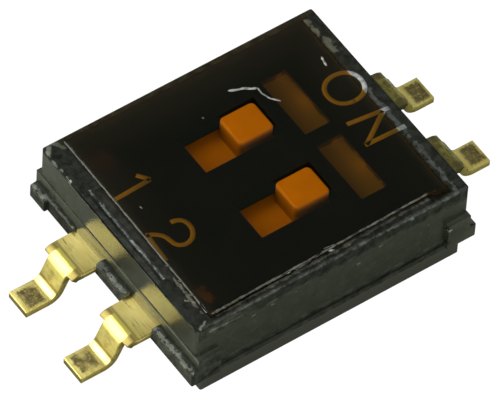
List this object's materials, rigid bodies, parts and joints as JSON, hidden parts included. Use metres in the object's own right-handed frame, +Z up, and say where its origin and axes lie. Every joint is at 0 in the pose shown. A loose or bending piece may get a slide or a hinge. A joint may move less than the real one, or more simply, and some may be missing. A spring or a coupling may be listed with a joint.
{
  "type": "dip switch",
  "caption": "Small surface-mount slide DIP switch with recessed sliders under a clear sealing film and gull-wing terminals on both sides.",
  "frame": {"origin": "on the board, under the centre of the body: the undersides of the solder feet are at z = 0", "axes": "+X along the row from position 1 to position 2, +Y the way a slider moves to ON, +Z up, away from the board"},
  "size_m": [0.0038, 0.0066, 0.0014],
  "materials": {
    "base_plastic": "moulded black, slightly rough",
    "cover_plastic": "glossy black with a fine grain",
    "film": "clear amber film",
    "terminal_gold": "thin gold plating, satin",
    "slider_plastic": "white moulded",
    "contact_gold": "gold-plated spring strip"
  },
  "bodies": {
    "housing": {"base": "base_plastic", "cover": "cover_plastic", "seal_film": "film", "terminal_front_1": "terminal_gold", "terminal_front_2": "terminal_gold", "terminal_rear_1": "terminal_gold", "terminal_rear_2": "terminal_gold"},
    "switch_1": {"slider_1": "slider_plastic", "contact_1": "contact_gold"},
    "switch_2": {"slider_2": "slider_plastic", "contact_2": "contact_gold"}
  },
  "joints": [
    {"name": "slide_1", "type": "slide", "parent": "housing", "child": "switch_1", "axis": [0, 1, 0], "range_m": [-0.0006, 0]},
    {"name": "slide_2", "type": "slide", "parent": "housing", "child": "switch_2", "axis": [0, 1, 0], "range_m": [-0.0006, 0]}
  ]
}
